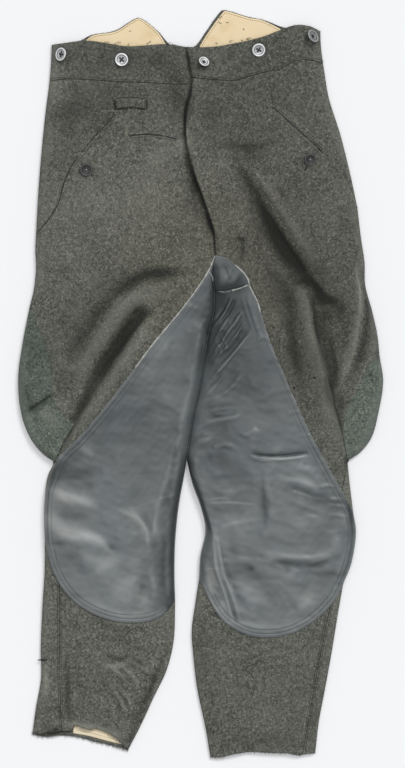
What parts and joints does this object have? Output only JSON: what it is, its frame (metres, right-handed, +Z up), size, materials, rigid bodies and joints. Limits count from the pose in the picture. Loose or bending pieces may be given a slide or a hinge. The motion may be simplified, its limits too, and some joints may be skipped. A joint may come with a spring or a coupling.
{
  "type": "riding breeches",
  "caption": "Wool riding breeches with flared thighs and leather inner legs, laid flat front up.",
  "frame": {"origin": "on the surface it lies on, below the middle of the garment's box", "axes": "+Y to the waist, +Z up from the surface to the front of the garment, +X to the wearer's left"},
  "size_m": [0.5108, 1.0458, 0.033],
  "materials": {
    "wool": "milled grey-green wool, matt with a short nap",
    "flare_wool": "greener milled wool, matt",
    "leather": "blue-grey leather, soft sheen, creased",
    "cotton": "cream cotton twill, matt",
    "zinc": "dished metal button, worn satin",
    "horn": "dark pressed button, satin"
  },
  "bodies": {
    "root": {"back_left": "wool", "back_peak_left": "wool", "back_peak_right": "wool", "back_right": "wool", "brace_button_1": "zinc", "brace_button_2": "zinc", "brace_button_3": "zinc", "brace_button_4": "zinc", "calf_side_left": "wool", "calf_side_right": "wool", "closure_button": "zinc", "front_left": "wool", "front_right": "wool", "gusset_left": "flare_wool", "gusset_right": "flare_wool", "hem_lining_right": "cotton", "hip_left": "wool", "hip_right": "wool", "leather_back_left": "leather", "leather_back_right": "leather", "leather_crotch": "leather", "leather_left": "leather", "leather_right": "leather", "peak_lining_left": "cotton", "peak_lining_right": "cotton", "pocket_button_left": "horn", "pocket_button_right": "horn", "pocket_lip_left": "wool", "waistband_left": "wool", "waistband_right": "wool", "watch_pocket_lip": "wool", "watch_strap": "wool"}
  },
  "joints": []
}
